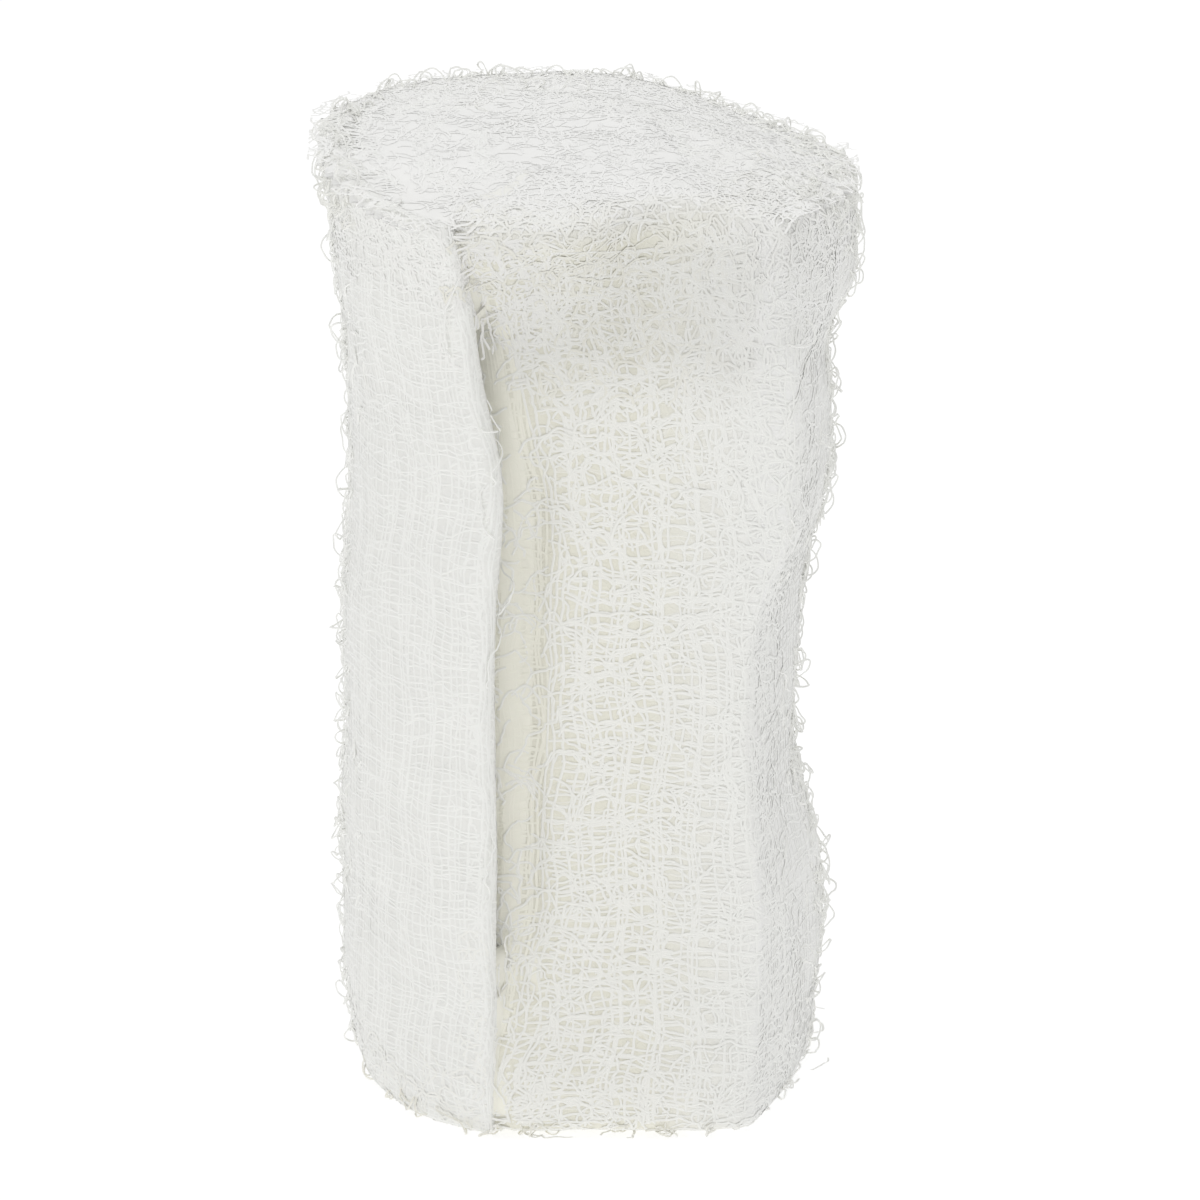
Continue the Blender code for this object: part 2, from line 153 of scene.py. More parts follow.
def cottonMaterial(name, warm, pale, unevenness, settings=cottonSet):
    material = bpy.data.materials.new(name)
    material.use_nodes = True
    tree = material.node_tree
    shader = tree.nodes["Principled BSDF"]
    shader.inputs["Roughness"].default_value = settings["roughness"]
    shader.inputs["Specular IOR Level"].default_value = settings["specular"]
    shader.inputs["Sheen Weight"].default_value = settings["sheen"]
    shader.inputs["Sheen Roughness"].default_value = settings["sheenRoughness"]

    def node(kind, values=(), **options):
        made = tree.nodes.new(kind)
        for key, value in options.items():
            setattr(made, key, value)
        for key, value in values:
            if isinstance(value, bpy.types.NodeSocket):
                tree.links.new(value, made.inputs[key])
            else:
                made.inputs[key].default_value = value
        return made

    def maths(operation, a, b):
        return node("ShaderNodeMath", [(0, a), (1, b)], operation=operation).outputs[0]

    def ramp(value, span, low=0.0, high=1.0, **options):
        return node("ShaderNodeMapRange", [
            ("Value", value), ("From Min", span[0]), ("From Max", span[1]),
            ("To Min", low), ("To Max", high)], **options).outputs[0]

    def clouds(size, detail, roughness=0.5):
        return node("ShaderNodeTexNoise", [
            ("Vector", place), ("Scale", 1.0 / size), ("Detail", detail), ("Roughness", roughness)]).outputs

    place = node("ShaderNodeTexCoord").outputs["Object"]
    x, y, z = node("ShaderNodeSeparateXYZ", [("Vector", place)]).outputs
    paleness = maths("MAXIMUM", ramp(x, settings["paleSide"]), ramp(z, settings["paleHead"]))
    paleness = maths("MAXIMUM", paleness, ramp(y, settings["paleBack"]))
    tone = node("ShaderNodeMix", [("Factor", paleness)], data_type="RGBA")
    tone.inputs["A"].default_value = (*warm, 1.0)
    tone.inputs["B"].default_value = (*pale, 1.0)
    patches = clouds(settings["patch"], settings["patchDetail"])["Fac"]
    shade = ramp(patches, settings["patchRange"], 1.0 - unevenness, 1.0)
    # Painted shade: the colour is darkened in the hollow under the head.
    paintedShade = maths("MULTIPLY", ramp(z, settings["hollowShadeTop"]), ramp(z, settings["hollowShadeBottom"]))
    for axis, limits in ((x, "hollowShadeRight"), (y, "hollowShadeDeep"), (x, "hollowShadeLeft")):
        paintedShade = maths("MULTIPLY", paintedShade, ramp(axis, settings[limits]))
    shade = maths("MULTIPLY", shade, ramp(paintedShade, (0.0, 1.0), 1.0, settings["hollowShadeTone"]))
    fibres = clouds(settings["bumpSize"], settings["bumpDetail"], settings["bumpRoughness"])["Fac"]
    strength = settings["bumpStrength"]
    bump = node("ShaderNodeBump", [
        ("Height", fibres), ("Strength", strength), ("Distance", settings["bumpDepth"])])
    if settings["netSize"]:
        bends = clouds(settings["netBendSize"], 1.0)["Color"]
        centred = node("ShaderNodeVectorMath", [(0, bends), (1, (0.5, 0.5, 0.5))], operation="SUBTRACT")
        bent = node("ShaderNodeVectorMath", [
            (0, centred.outputs[0]), ("Scale", settings["netBend"])], operation="SCALE")
        moved = node("ShaderNodeVectorMath", [(0, bent.outputs[0]), (1, place)], operation="ADD")
        net = node("ShaderNodeTexVoronoi", [
            ("Vector", moved.outputs[0]), ("Scale", 1.0 / settings["netSize"])], feature="DISTANCE_TO_EDGE")
        thread = ramp(
            net.outputs["Distance"], (0.0, settings["netWidth"]), 1.0, 0.0, interpolation_type="SMOOTHSTEP")
        bump = node("ShaderNodeBump", [
            ("Height", thread), ("Strength", strength), ("Distance", settings["netDepth"]),
            ("Normal", bump.outputs["Normal"])])
        shade = maths("MULTIPLY", shade, ramp(thread, (0.0, 1.0), settings["netTone"], 1.0))
    colour = node(
        "ShaderNodeVectorMath", [(0, tone.outputs["Result"]), ("Scale", shade)], operation="SCALE")
    tree.links.new(colour.outputs[0], shader.inputs["Base Color"])
    tree.links.new(bump.outputs["Normal"], shader.inputs["Normal"])
    return material


# The warm tone, the pale tone and the unevenness of each cotton.
innerSet = dict(cottonSet, bumpDepth=0.03 * mm, bumpSize=0.3 * mm, sheen=0.3, netSize=0.9 * mm)
# Painted shade: the cloths under the yarns, innerCotton on the front and looseInnerCotton all over, are
# darker than the yarns over them: partly the deeper layers' own tone, partly painted shade of the gaps
# between the yarns.
innerCotton = cottonMaterial("innerCotton", (0.878, 0.862, 0.755), (0.938, 0.937, 0.917), 0.02, innerSet)
looseInnerCotton = cottonMaterial(
    "looseInnerCotton", (0.895, 0.895, 0.862), (0.905, 0.906, 0.878), 0.01, dict(innerSet, hollowShadeTone=1.0))
# Painted shade: grooveCotton's warm tint is partly the cotton's own tone, partly painted warm shade of the
# groove beside the free edge and of the slots.
grooveCotton = cottonMaterial("grooveCotton", (0.955, 0.942, 0.84), (0.955, 0.95, 0.9), 0.02)
innerYarnCotton = cottonMaterial("innerYarnCotton", (0.9, 0.888, 0.81), (0.93, 0.928, 0.898), 0.02)
yarnCotton = cottonMaterial("yarnCotton", (0.933, 0.93, 0.886), (0.928, 0.93, 0.898), 0.015)
looseCotton = cottonMaterial(
    "looseCotton", (0.938, 0.941, 0.909), (0.946, 0.948, 0.922), 0.02, dict(cottonSet, hollowShadeTone=1.0))
headCotton = cottonMaterial("headCotton", (0.935, 0.93, 0.9), (0.965, 0.964, 0.945), 0.015)
rimCotton = cottonMaterial("rimCotton", (0.925, 0.92, 0.89), (0.945, 0.943, 0.922), 0.015)
print("materials ready")


# Places round the winding.

def angleOf(place):
    return math.degrees(math.atan2(place.x - windingX, windingY - place.y))


def offAxis(place):
    return math.hypot(place.x - windingX, place.y - windingY)


def outwards(angle):
    turn = math.radians(angle)
    return Vector((math.sin(turn), -math.cos(turn), 0.0))


def winding(height):
    return Vector((windingX, windingY, height))


# A part of the cloths: its limits in angle, height and reach, and the way that its faces look.
everywhere = dict(
    start=-181.0, end=181.0, apart=-1.0, bottom=-1.0, top=1.0, reach=-1.0, steepest=2.0, outside=False,
)


def within(place, way, limits):
    limits = dict(everywhere, **limits)
    angle = angleOf(place)
    return (
        limits["start"] < angle < limits["end"] and abs(angle) > limits["apart"]
        and limits["bottom"] < place.z < limits["top"] and offAxis(place) > limits["reach"]
        and way.z < limits["steepest"] and (not limits["outside"] or way.dot(outwards(angle)) > 0.0)
    )


# The two cloths under the yarns.

def mergedCopy(nodeName):
    mesh = bmesh.new()
    mesh.from_mesh(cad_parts[nodeName].data)
    bmesh.ops.remove_doubles(mesh, verts=mesh.verts, dist=0.01 * mm)
    bmesh.ops.recalc_face_normals(mesh, faces=mesh.faces)
    return mesh


# At both ends, fluff fills the narrow slot between the free edge and the turn beside it.
def fillSlot(mesh, settings):
    low, high = settings["low"], settings["high"]
    beside = [vert for vert in mesh.verts if high < angleOf(vert.co) < high + settings["beside"]]
    for vert in mesh.verts:
        angle, height, reach = angleOf(vert.co), vert.co.z, offAxis(vert.co)
        inside = (settings["end"] - height) * settings["way"]
        if low < angle < high and inside > 0.0 and reach > settings["innermost"]:
            near = min(beside, key=lambda other: abs(other.co.z - height) - offAxis(other.co))
            share = (angle - low) / (high - low)
            wanted = settings["edgeReach"] * (1.0 - share) + offAxis(near.co) * share
            past = max(0.0, settings["footRound"] - height, height - settings["rimRound"])
            wanted -= past * settings["roundness"]
            longer = 1.0 + max(0.0, wanted - reach) * min(1.0, inside / settings["fade"]) / reach
            vert.co.x = windingX + (vert.co.x - windingX) * longer
            vert.co.y = windingY + (vert.co.y - windingY) * longer


def innerCloth(settings):
    mesh = mergedCopy(settings["node"])
    mesh.normal_update()
    shifts = [vert.normal * settings["inset"] for vert in mesh.verts]
    for vert, shift in zip(mesh.verts, shifts):
        vert.co -= shift
    for slot in settings["slots"]:
        fillSlot(mesh, slot)
    if settings["softens"]:
        creased = [vert for vert in mesh.verts if within(vert.co, vert.normal, settings["shoulder"])]
        for _ in range(settings["softens"]):
            bmesh.ops.smooth_vert(
                mesh, verts=creased, factor=0.5, use_axis_x=True, use_axis_y=True, use_axis_z=True)
    made = objectFrom(settings["name"], mesh)
    made.data.materials.clear()
    made.data.materials.append(settings["material"])
    made.data.shade_smooth()
    rounding = made.modifiers.new("rounding", "SUBSURF")
    rounding.levels = rounding.render_levels = settings["levels"]
    bpy.context.view_layer.update()
    smooth = bpy.data.meshes.new_from_object(made.evaluated_get(bpy.context.evaluated_depsgraph_get()))
    made.modifiers.clear()
    made.data = smooth
    smooth.name = settings["name"]
    return made


slotSet = dict(beside=6.0, innermost=18 * mm, footRound=1.5 * mm, rimRound=110 * mm, roundness=0.8)
rollSet = dict(
    name="rolledCloth", node="wound_roll", inset=0.45 * mm, levels=1, material=innerCotton,
    softens=9, shoulder=dict(bottom=98 * mm, start=-32.0, end=62.0, reach=15 * mm),
    slots=[
        dict(slotSet, low=-28.0, high=-16.2, end=21 * mm, way=1.0, fade=8 * mm, edgeReach=30.9 * mm),
        dict(slotSet, low=-36.0, high=-14.0, end=96 * mm, way=-1.0, fade=9 * mm, edgeReach=29 * mm),
    ],
)
looseSet = dict(
    name="looseEnd", node="loose_end", inset=0.3 * mm, levels=1, material=looseInnerCotton,
    softens=0, slots=[], flat=(48 * mm, 114 * mm),
)
rolledCloth = innerCloth(rollSet)
looseEnd = innerCloth(looseSet)


def searchTree(objects):
    points, faces = [], []
    for item in objects:
        start = len(points)
        points += [vert.co.copy() for vert in item.data.vertices]
        faces += [[start + k for k in face.vertices] for face in item.data.polygons]
    return BVHTree.FromPolygons(points, faces)


rollTree = searchTree([rolledCloth])
looseTree = searchTree([looseEnd])
bothTree = searchTree([rolledCloth, looseEnd])
print("cloths ready:", len(rolledCloth.data.polygons), len(looseEnd.data.polygons))


# Smooth carriers that the yarns are laid on; they are removed at the end.

carrierSet = dict(
    rowStep=1.2 * mm, lowest=1.0 * mm, sideTop=100 * mm,
    fanSteps=26, fanEnd=52.0, columnStep=1.5,
    rootAngle=-130.0, panelEnd=[(0.0, 54.0)], backStart=[(0.0, 47.0)], backEnd=[(0.0, 246.0)],
    grooveStart=[(0.0, -38.0)],
    grooveEdge=[
        (0.0, -23.0), (10 * mm, -19.0), (23 * mm, -14.5), (49 * mm, -11.0), (62 * mm, -10.4),
        (74 * mm, -10.0), (81 * mm, -13.0), (94 * mm, -20.0), (106 * mm, -25.0), (112 * mm, -27.0),
    ],
    looseColumns=56, topMargin=2.5 * mm, edgeAngles=(-45.0, -5.0), edgeTries=24, edgeLook=70 * mm,
    edgeRadius=1.1 * mm, edgeSteps=9, edgeSteepest=20.0, tucks=3,
    edgeReach=12, tuckStep=1.2,  # in millimetres
)


def rowAims(settings):
    aims = []
    count = round((settings["sideTop"] - settings["lowest"]) / settings["rowStep"])
    for k in range(count + 1):
        aims.append((settings["lowest"] + (settings["sideTop"] - settings["lowest"]) * k / count, 0.0))
    for k in range(1, settings["fanSteps"] + 1):
        aims.append((settings["sideTop"], settings["fanEnd"] * k / settings["fanSteps"]))
    return aims


def aimed(tree, angle, aim):
    height, rise = aim
    turn = math.radians(rise)
    direction = outwards(angle) * math.cos(turn) + Vector((0.0, 0.0, math.sin(turn)))
    reach = farOut * mm
    return tree.ray_cast(winding(height) + direction * reach, -direction, reach)[0]


# Where a ray misses the cloth, the row repeats its last place.
def aimedRow(tree, aim, start, end, count):
    hits = [aimed(tree, start + (end - start) * k / count, aim) for k in range(count + 1)]
    last = next(hit for hit in hits if hit is not None)
    row = []
    for hit in hits:
        last = hit if hit is not None else last
        row.append(last)
    return row


def between(table, value):
    for (a, low), (b, high) in zip(table, table[1:]):
        if value < b:
            return low + (high - low) * max(0.0, value - a) / (b - a)
    return table[-1][1]


def gridCarrier(name, places, mapped, flip=False, steepest=math.inf):
    mesh = bmesh.new()
    layer = mesh.loops.layers.uv.new("cloth")
    verts = {key: mesh.verts.new(place) for key, place in places.items()}
    for (j, k) in places:
        around = [(j, k), (j, k + 1), (j + 1, k + 1), (j + 1, k)]
        if not all(item in places for item in around):
            continue
        if flip:
            around.reverse()
        if max((places[a] - places[b]).length for a in around for b in around) < steepest:
            face = mesh.faces.new([verts[item] for item in around])
            for loop, item in zip(face.loops, around):
                loop[layer].uv = mapped[item]
            face.smooth = True
    return objectFrom(name, mesh)


# A carrier with a flat map of the cloth on it, which a weave follows.
def sheetCarrier(name, rows):
    acrossAt, alongAt = [0.0], [0.0]
    middle = rows[len(rows) // 2]
    for a, b in zip(middle, middle[1:]):
        acrossAt.append(acrossAt[-1] + (b - a).length)
    for low, high in zip(rows, rows[1:]):
        lengths = sorted((b - a).length for a, b in zip(low, high))
        alongAt.append(alongAt[-1] + lengths[len(lengths) // 2])
    places = {(j, k): place for j, row in enumerate(rows) for k, place in enumerate(row)}
    made = gridCarrier(name, places, {(j, k): (acrossAt[k], alongAt[j]) for j, k in places})
    made["across"] = (acrossAt[0], acrossAt[-1])
    made["along"] = (alongAt[0], alongAt[-1])
    return made


def turnCarrier(name, tree, start, end):
    count = round((end[0][1] - start[0][1]) / carrierSet["columnStep"])
    rows = []
    for aim in rowAims(carrierSet):
        rows.append(aimedRow(tree, aim, between(start, aim[0]), between(end, aim[0]), count))
    return sheetCarrier(name, rows)


def freeEdgeAngle(height):
    low, high = carrierSet["edgeAngles"]
    for _ in range(carrierSet["edgeTries"]):
        middle = 0.5 * (low + high)
        start = winding(height) + outwards(middle) * farOut * mm
        if looseTree.ray_cast(start, -outwards(middle), carrierSet["edgeLook"])[0] is not None:
            low = middle
        else:
            high = middle
    return low


def looseCarrier(name, tree, settings):
    looseTop = max(vert.co.z for vert in looseEnd.data.vertices)
    root, count, radius = settings["rootAngle"], settings["looseColumns"], settings["edgeRadius"]
    rows = []
    for aim in rowAims(settings):
        height, rise = aim
        above = height + meanRadius * math.tan(math.radians(rise))
        edge = freeEdgeAngle(min(above, looseTop - settings["topMargin"]))
        last = edge - math.degrees(radius / meanRadius)
        row = aimedRow(tree, aim, root, last, count)
        out = outwards(last)
        side = outwards(last + 90.0)
        middle = row[-1] - out * radius
        for k in range(1, settings["edgeSteps"] + 1):
            turn = math.radians(180.0 * k / settings["edgeSteps"])
            way = out * math.cos(turn) + side * math.sin(turn)
            hit, look = None, settings["edgeReach"]
            if rise < settings["edgeSteepest"]:
                hit = looseTree.ray_cast(middle + way * look * mm, -way, look * mm)[0]
            row.append(hit if hit is not None else middle + way * radius)
        for _ in range(settings["tucks"]):
            row.append(row[-1] - side * settings["tuckStep"] * mm)
        rows.append(row)
    return sheetCarrier(name, rows)


def surfaceCarrier(name, sources, keeps):
    mesh = bmesh.new()
    for source in sources:
        mesh.from_mesh(source.data)
    mesh.normal_update()
    left = [face for face in mesh.faces if not keeps(face.calc_center_median(), face.normal)]
    bmesh.ops.delete(mesh, geom=left, context="FACES")
    return objectFrom(name, mesh)


# Narrow gaps are closed over, because the fluff there reaches across them.
def closedOver(values, cells, reach):
    spread = {}
    for (j, k) in cells:
        around = [values[item] for item in ((j + a, k + b) for a, b in reach) if item in values]
        if around:
            spread[j, k] = max(around)
    closed = {}
    for (j, k) in cells:
        around = [(j + a, k + b) for a, b in reach]
        if all(item in spread or item not in cells for item in around) and (j, k) in spread:
            closed[j, k] = min(spread[item] for item in around if item in spread)
        elif (j, k) in values:
            closed[j, k] = values[j, k]
    return closed


def flatCarrier(name, tree, settings):
    count = round(2 * settings["radius"] / settings["step"])
    radius, top, direction = settings["radius"], settings["top"], settings["direction"]
    heights, mapped = {}, {}
    for j in range(count + 1):
        for k in range(count + 1):
            x, y = -radius + 2 * radius * k / count, -radius + 2 * radius * j / count
            if math.hypot(x, y) > radius:
                continue
            start = Vector((windingX + x, windingY + y, top))
            hit = tree.ray_cast(start, Vector((0.0, 0.0, direction)), settings["look"])[0]
            mapped[j, k] = (x, y)
            if hit is not None and abs(hit.z - top) < settings["deepest"]:
                heights[j, k] = hit.z * -direction
    cells = range(-math.ceil(settings["reach"]), math.ceil(settings["reach"]) + 1)
    reach = [(a, b) for a in cells for b in cells if math.hypot(a, b) < settings["reach"]]
    heights = closedOver(heights, mapped, reach)
    places = {
        key: Vector((windingX + mapped[key][0], windingY + mapped[key][1], height * -direction))
        for key, height in heights.items()
    }
    return gridCarrier(name, places, mapped, direction > 0, settings["steepCells"] * settings["step"])


def bridgeCarrier(name, settings):
    known, mapped, wide = {}, {}, settings["reach"]
    for j in range(settings["rows"] + 1):
        height = settings["low"] + (settings["high"] - settings["low"]) * j / settings["rows"]
        for k in range(-wide, settings["columns"] + wide + 1):
            angle = settings["start"] + (settings["end"] - settings["start"]) * k / settings["columns"]
            hit = aimed(bothTree, angle, (height, 0.0))
            mapped[j, k] = (angle, height)
            if hit is not None:
                known[j, k] = (hit - winding(hit.z)).length
    closed = closedOver(known, mapped, [(0, step) for step in range(-wide, wide + 1)])
    places = {}
    for (j, k), far in closed.items():
        if 0 <= k <= settings["columns"]:
            angle, height = mapped[j, k]
            share = (height - settings["fadeFrom"]) / (settings["fadeTo"] - settings["fadeFrom"])
            share = min(1.0, max(0.0, share))
            own = known.get((j, k), far)
            places[j, k] = winding(height) + outwards(angle) * (own + (far - own) * share)
    return gridCarrier(name, places, mapped, steepest=settings["steepest"])


# Where the rim's mat of yarn lies: round the head's edge and down to the shoulder.
def onRim(place, way):
    angle = angleOf(place)
    if -13.0 < angle < 36.0 and place.z < 111 * mm and way.z < 0.4:
        return False
    if place.z > 108 * mm:
        return offAxis(place) > 26 * mm or way.z > 0.2
    return place.z > 103 * mm or place.z > 96 * mm and -24.0 < angle < 70.0


def onFreeEdge(place, way):
    return angleOf(place) > freeEdgeAngle(place.z) - 6.0


flatSet = dict(look=40 * mm, deepest=24 * mm, reach=3.8, steepCells=4.5)
headSet = dict(flatSet, top=124 * mm, radius=33 * mm, step=1.0 * mm, direction=-1.0)
footSet = dict(flatSet, top=-6 * mm, radius=31 * mm, step=1.6 * mm, direction=1.0)
footBridgeSet = dict(
    low=0.8 * mm, high=26 * mm, rows=22, fadeFrom=26 * mm, fadeTo=14 * mm,
    start=-29.0, end=-8.0, columns=21, reach=4, steepest=6 * mm,
)
collarBridgeSet = dict(
    low=95 * mm, high=114 * mm, rows=19, fadeFrom=95 * mm, fadeTo=104 * mm,
    start=-34.0, end=-4.0, columns=30, reach=6, steepest=6 * mm,
)
# The loose end leaves the roll at a seam on the left, behind, which the cloth runs over unbroken.
seamSet = dict(
    low=0.3 * mm, high=114.6 * mm, rows=57, fadeFrom=-2 * mm, fadeTo=-1 * mm,
    start=-132.0, end=-104.0, columns=28, reach=6, steepest=6 * mm,
)
seamBridge = bridgeCarrier("seamBridge", seamSet)
seamTree = searchTree([rolledCloth, looseEnd, seamBridge])
carriers = dict(
    seam=seamBridge,
    panel=turnCarrier("panelCarrier", rollTree, carrierSet["grooveEdge"], carrierSet["panelEnd"]),
    groove=turnCarrier("grooveCarrier", rollTree, carrierSet["grooveStart"], carrierSet["grooveEdge"]),
    back=turnCarrier("backCarrier", seamTree, carrierSet["backStart"], carrierSet["backEnd"]),
    flap=looseCarrier("flapCarrier", seamTree, carrierSet),
    head=flatCarrier("headCarrier", bothTree, headSet),
    foot=flatCarrier("footCarrier", rollTree, footSet),
    footBridge=bridgeCarrier("footBridge", footBridgeSet),
    collarBridge=bridgeCarrier("collarBridge", collarBridgeSet),
    rim=surfaceCarrier("rimCarrier", [rolledCloth, looseEnd], onRim),
    edge=surfaceCarrier("edgeCarrier", [looseEnd], onFreeEdge),
)
roll, loose = rolledCloth, looseEnd
regionSet = dict(
    front=([roll], dict(start=-30.0, end=66.0, bottom=1.5 * mm, top=113 * mm)),
    ridge=([roll], dict(start=38.0, end=60.0, top=110 * mm)),
    footEdge=([roll, loose], dict(start=-80.0, end=90.0, bottom=0.6 * mm, top=10 * mm, reach=18 * mm)),
    leftSide=([loose], dict(start=-110.0, end=-76.0, outside=True)),
    rightSide=([roll], dict(start=78.0, end=108.0, top=112 * mm)),
    leftRound=([loose], dict(start=-142.0, end=-64.0, bottom=2 * mm, top=112 * mm, outside=True)),
    rightRound=([roll], dict(start=66.0, end=140.0, bottom=2 * mm, top=112 * mm)),
    fringe=([roll, loose], dict(start=-34.0, end=70.0, bottom=104 * mm, top=113.5 * mm, reach=20 * mm)),
    hollow=([roll], dict(start=-14.0, end=42.0, bottom=90 * mm, top=112 * mm, steepest=0.6)),
    rimTop=([roll, loose], dict(apart=60.0, bottom=108 * mm, reach=27.5 * mm)),
    footRing=([roll, loose], dict(start=-112.0, end=112.0, top=2.6 * mm, reach=22 * mm)),
)
for name, (sources, limits) in regionSet.items():
    carriers[name] = surfaceCarrier(name, sources, lambda place, way: within(place, way, limits))
print("carriers ready:", len(carriers))


def finishPiece(made):
    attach(made, "root")
    triangles = sum(len(face.vertices) - 2 for face in made.data.polygons)
    print(made.name, "has", triangles, "triangles")


# A thin blanket of fluff just under a carrier shows only where the cloths part.
def fluffBlanket(name, carrier, settings, material):
    mesh = bmesh.new()
    mesh.from_mesh(carriers[carrier].data)
    mesh.normal_update()
    for _ in range(settings["trim"]):
        outer = [face for face in mesh.faces if any(vert.is_boundary for vert in face.verts)]
        bmesh.ops.delete(mesh, geom=outer, context="FACES")
    loose = [vert for vert in mesh.verts if not vert.link_faces]
    bmesh.ops.delete(mesh, geom=loose, context="VERTS")
    normals = {vert: vert.normal.copy() for vert in mesh.verts}
    for vert in mesh.verts:
        if vert.is_boundary:
            vert.co -= normals[vert] * settings["edgeDrop"]
    under = {}
    for vert, normal in normals.items():
        under[vert] = mesh.verts.new(vert.co - normal * (settings["depth"] + settings["thickness"]))
        vert.co -= normal * settings["depth"]
    top = list(mesh.faces)
    edges = [edge for edge in mesh.edges if len(edge.link_faces) == 1]
    for face in top:
        mesh.faces.new([under[vert] for vert in reversed(face.verts)])
    for edge in edges:
        a, b = edge.verts
        mesh.faces.new((a, under[a], under[b], b))
    bmesh.ops.recalc_face_normals(mesh, faces=mesh.faces)
    for face in mesh.faces:
        face.smooth = True
    made = objectFrom(name, mesh)
    made.data.materials.append(material)
    finishPiece(made)


# Geometry nodes for the yarns.

yarnSet = dict(
    sides=3, sectionShare=0.58, swellLeast=0.85, swellMore=0.3,
    noiseRoughness=0.35, noiseReach=4.0, lowest=0.12 * mm,
)


def emptyTree(name, inputs):
    tree = bpy.data.node_groups.new(name, "GeometryNodeTree")
    tree.interface.new_socket("Geometry", in_out="OUTPUT", socket_type="NodeSocketGeometry")
    tree.interface.new_socket("Carrier", in_out="INPUT", socket_type="NodeSocketGeometry")
    for key, kind in inputs.items():
        tree.interface.new_socket(key, in_out="INPUT", socket_type="NodeSocket" + kind)
    return tree, tree.nodes.new("NodeGroupInput"), tree.nodes.new("NodeGroupOutput")


def feed(tree, target, source):
    if isinstance(source, bpy.types.NodeSocket):
        tree.links.new(source, target)
    elif source is not None:
        target.default_value = source


# Sockets that share a name are told apart by an identifier that ends in a number.
def socketOf(node, key):
    numbered = [socket for socket in node.inputs if socket.identifier == key and key.endswith("_001")]
    return numbered[0] if numbered else node.inputs[key]


def addNode(tree, kind, sources=(), **settings):
    node = tree.nodes.new(kind)
    for key, value in settings.items():
        setattr(node, key, value)
    if isinstance(sources, dict):
        for key, source in sources.items():
            feed(tree, socketOf(node, key), source)
    else:
        free = [socket for socket in node.inputs if socket.enabled]
        for socket, source in zip(free, sources):
            feed(tree, socket, source)
    return node


def sums(tree, operation, *sources):
    return addNode(tree, "ShaderNodeMath", sources, operation=operation).outputs[0]


def arithmetic(tree):
    def both(operation):
        return lambda a, b: sums(tree, operation, a, b)
    return both("ADD"), both("SUBTRACT"), both("MULTIPLY"), both("DIVIDE")


def vectors(tree, operation, *sources):
    node = addNode(tree, "ShaderNodeVectorMath", sources, operation=operation)
    return next(socket for socket in node.outputs if socket.enabled)


def triple(tree, a, b, c=0.0):
    return addNode(tree, "ShaderNodeCombineXYZ", (a, b, c)).outputs[0]


def parts(tree, vector):
    return addNode(tree, "ShaderNodeSeparateXYZ", (vector,)).outputs


def position(tree):
    return addNode(tree, "GeometryNodeInputPosition").outputs[0]


def scaled(tree, vector, factor):
    sources = {"Vector": vector, "Scale": factor}
    return addNode(tree, "ShaderNodeVectorMath", sources, operation="SCALE").outputs["Vector"]


def swings(tree, place, w, detail):
    sources = {
        "Vector": place, "W": w, "Scale": 1.0, "Detail": detail, "Roughness": yarnSet["noiseRoughness"]}
    texture = addNode(tree, "ShaderNodeTexNoise", sources, noise_dimensions="4D")
    centred = vectors(tree, "SUBTRACT", texture.outputs["Color"], (0.5, 0.5, 0.5))
    return parts(tree, scaled(tree, centred, yarnSet["noiseReach"]))


def randomNumber(tree, low, high, seed):
    node = addNode(tree, "FunctionNodeRandomValue", data_type="FLOAT")
    bySocket = {socket.identifier: socket for socket in node.inputs}
    feed(tree, bySocket["Min_001"], low)
    feed(tree, bySocket["Max_001"], high)
    feed(tree, bySocket["Seed"], seed)
    return next(socket for socket in node.outputs if socket.identifier == "Value_001")


def sampleCloth(tree, carrier, value, uv):
    layer = addNode(tree, "GeometryNodeInputNamedAttribute", ("cloth",), data_type="FLOAT_VECTOR")
    return addNode(tree, "GeometryNodeSampleUVSurface", {
        "Mesh": carrier, "Value": value, "UV Map": layer.outputs["Attribute"], "Sample UV": uv},
        data_type="FLOAT_VECTOR").outputs["Value"]


def kept(tree, geometry, name, value, kind="FLOAT"):
    sources = {"Geometry": geometry, "Name": name, "Value": value}
    node = addNode(tree, "GeometryNodeStoreNamedAttribute", sources, data_type=kind, domain="POINT")
    back = addNode(tree, "GeometryNodeInputNamedAttribute", (name,), data_type=kind)
    return node.outputs[0], back.outputs[0]


